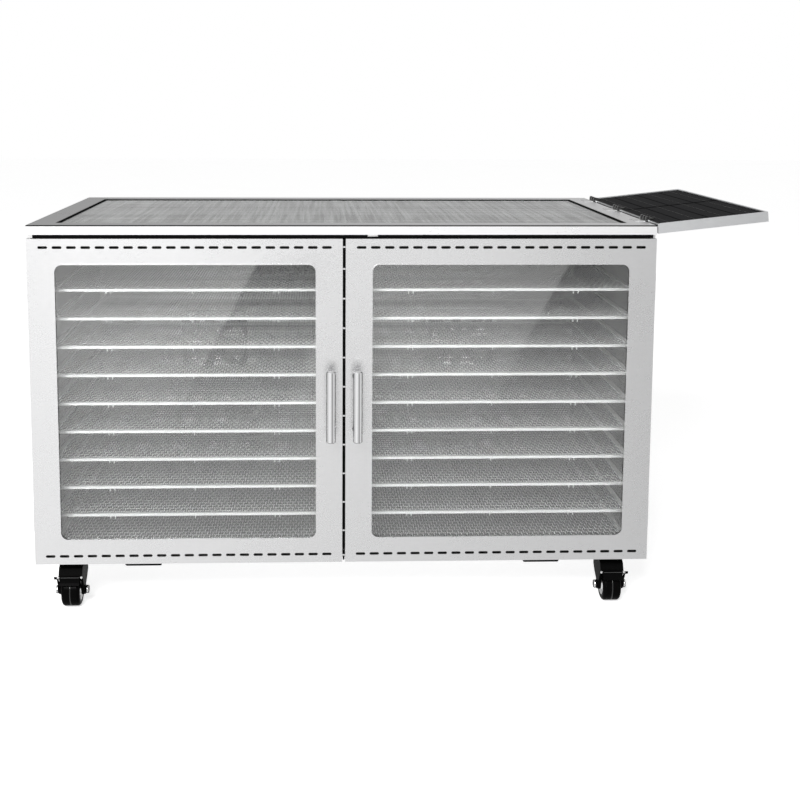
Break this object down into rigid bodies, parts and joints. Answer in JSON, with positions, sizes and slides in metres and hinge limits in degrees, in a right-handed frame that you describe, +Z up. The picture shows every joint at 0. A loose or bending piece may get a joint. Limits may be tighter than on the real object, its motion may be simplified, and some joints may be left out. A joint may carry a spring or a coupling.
{
  "type": "food dehydrator",
  "caption": "Two-door steel solar food dehydrator on casters, with glazed collector lid, mesh trays, fans and a hinged photovoltaic wing.",
  "frame": {"origin": "on the floor, below the middle of the cabinet's width and depth", "axes": "+X to the right as seen from the front, +Y to the back panel, +Z up"},
  "size_m": [1.1024, 0.557, 0.6132],
  "materials": {
    "steel": "fine brushed sheet steel",
    "inner_steel": "satin sheet steel",
    "bright_steel": "bright pressed steel",
    "tray_steel": "bright bar",
    "tray_mesh": "woven wire",
    "handle_chrome": "polished",
    "seal_rubber": "matt black rubber",
    "absorber_black": "matt black absorber coat",
    "collector_glass": "clear tempered",
    "window_glass": "clear tempered",
    "fan_plastic": "moulded black",
    "black_plastic": "moulded black",
    "caster_black": "gloss black powder coat",
    "wheel_rubber": "black rubber",
    "wing_aluminium": "anodised",
    "solar_cells": "black cells under glass"
  },
  "bodies": {
    "cabinet": {"base_panel": "steel", "inner_liner": "inner_steel", "left_side_panel": "steel", "right_side_panel": "steel", "back_panel": "steel", "centre_divider": "inner_steel", "front_frame": "inner_steel", "frame_seals": "seal_rubber", "seal_clips": "bright_steel", "absorber_plate": "absorber_black", "lid_frame": "steel", "lid_glass": "collector_glass", "lid_gasket": "seal_rubber", "tray_rails": "inner_steel", "tray_row_01": "tray_steel", "tray_row_02": "tray_steel", "tray_row_03": "tray_steel", "tray_row_04": "tray_steel", "tray_row_05": "tray_steel", "tray_row_06": "tray_steel", "tray_row_07": "tray_steel", "tray_row_08": "tray_steel", "tray_row_09": "tray_steel", "tray_row_10": "tray_steel", "tray_meshes": "tray_mesh", "fan_frames": "fan_plastic", "fan_guards": "bright_steel", "cabinet_hinge_leaves": "bright_steel", "lid_hinge_leaves": "bright_steel", "caster_plates": "caster_black", "cable_gland": "black_plastic", "rest_pads": "seal_rubber"},
    "left_door": {"left_door_panel": "steel", "left_door_liner": "inner_steel", "left_door_glass": "window_glass", "left_door_seals": "seal_rubber", "left_door_handle": "handle_chrome", "left_door_hinge_leaves": "bright_steel"},
    "right_door": {"right_door_panel": "steel", "right_door_liner": "inner_steel", "right_door_glass": "window_glass", "right_door_seals": "seal_rubber", "right_door_handle": "handle_chrome", "right_door_hinge_leaves": "bright_steel"},
    "solar_wing": {"solar_frame": "wing_aluminium", "solar_laminate": "solar_cells", "solar_junction_box": "black_plastic", "solar_hinge_leaves": "caster_black"},
    "left_fan": {"left_impeller": "fan_plastic"},
    "right_fan": {"right_impeller": "fan_plastic"},
    "front_left_caster": {"front_left_fork": "caster_black"},
    "front_left_roller": {"front_left_wheel": "wheel_rubber"},
    "front_right_caster": {"front_right_fork": "caster_black"},
    "front_right_roller": {"front_right_wheel": "wheel_rubber"},
    "rear_left_caster": {"rear_left_fork": "caster_black"},
    "rear_left_roller": {"rear_left_wheel": "wheel_rubber"},
    "rear_right_caster": {"rear_right_fork": "caster_black"},
    "rear_right_roller": {"rear_right_wheel": "wheel_rubber"},
    "left_brake": {"left_brake_pedal": "caster_black"},
    "right_brake": {"right_brake_pedal": "caster_black"}
  },
  "joints": [
    {"name": "left_door_hinge", "type": "hinge", "parent": "cabinet", "child": "left_door", "pos_m": [-0.4676, -0.2383, 0.325], "axis": [0, 0, -1], "range_deg": [0, 175]},
    {"name": "right_door_hinge", "type": "hinge", "parent": "cabinet", "child": "right_door", "pos_m": [0.4676, -0.2383, 0.325], "axis": [0, 0, 1], "range_deg": [0, 175]},
    {"name": "solar_wing_hinge", "type": "hinge", "parent": "cabinet", "child": "solar_wing", "pos_m": [0.4662, 0, 0.5979], "axis": [0, -1, 0], "range_deg": [0, 172]},
    {"name": "left_fan_spin", "type": "hinge", "parent": "cabinet", "child": "left_fan", "pos_m": [-0.2325, 0.245, 0.32], "axis": [0, 1, 0], "continuous": true},
    {"name": "right_fan_spin", "type": "hinge", "parent": "cabinet", "child": "right_fan", "pos_m": [0.2325, 0.245, 0.32], "axis": [0, 1, 0], "continuous": true},
    {"name": "front_left_swivel", "type": "hinge", "parent": "cabinet", "child": "front_left_caster", "pos_m": [-0.417, -0.203, 0.06], "axis": [0, 0, 1], "continuous": true},
    {"name": "front_left_roll", "type": "hinge", "parent": "front_left_caster", "child": "front_left_roller", "pos_m": [-0.417, -0.224, 0.025], "axis": [1, 0, 0], "continuous": true},
    {"name": "front_right_swivel", "type": "hinge", "parent": "cabinet", "child": "front_right_caster", "pos_m": [0.417, -0.203, 0.06], "axis": [0, 0, 1], "continuous": true},
    {"name": "front_right_roll", "type": "hinge", "parent": "front_right_caster", "child": "front_right_roller", "pos_m": [0.417, -0.224, 0.025], "axis": [1, 0, 0], "continuous": true},
    {"name": "rear_left_swivel", "type": "hinge", "parent": "cabinet", "child": "rear_left_caster", "pos_m": [-0.417, 0.215, 0.06], "axis": [0, 0, 1], "continuous": true},
    {"name": "rear_left_roll", "type": "hinge", "parent": "rear_left_caster", "child": "rear_left_roller", "pos_m": [-0.417, 0.194, 0.025], "axis": [1, 0, 0], "continuous": true},
    {"name": "rear_right_swivel", "type": "hinge", "parent": "cabinet", "child": "rear_right_caster", "pos_m": [0.417, 0.215, 0.06], "axis": [0, 0, 1], "continuous": true},
    {"name": "rear_right_roll", "type": "hinge", "parent": "rear_right_caster", "child": "rear_right_roller", "pos_m": [0.417, 0.194, 0.025], "axis": [1, 0, 0], "continuous": true},
    {"name": "left_brake_hinge", "type": "hinge", "parent": "front_left_caster", "child": "left_brake", "pos_m": [-0.417, -0.224, 0.025], "axis": [1, 0, 0], "range_deg": [0, 12]},
    {"name": "right_brake_hinge", "type": "hinge", "parent": "front_right_caster", "child": "right_brake", "pos_m": [0.417, -0.224, 0.025], "axis": [1, 0, 0], "range_deg": [0, 12]}
  ]
}
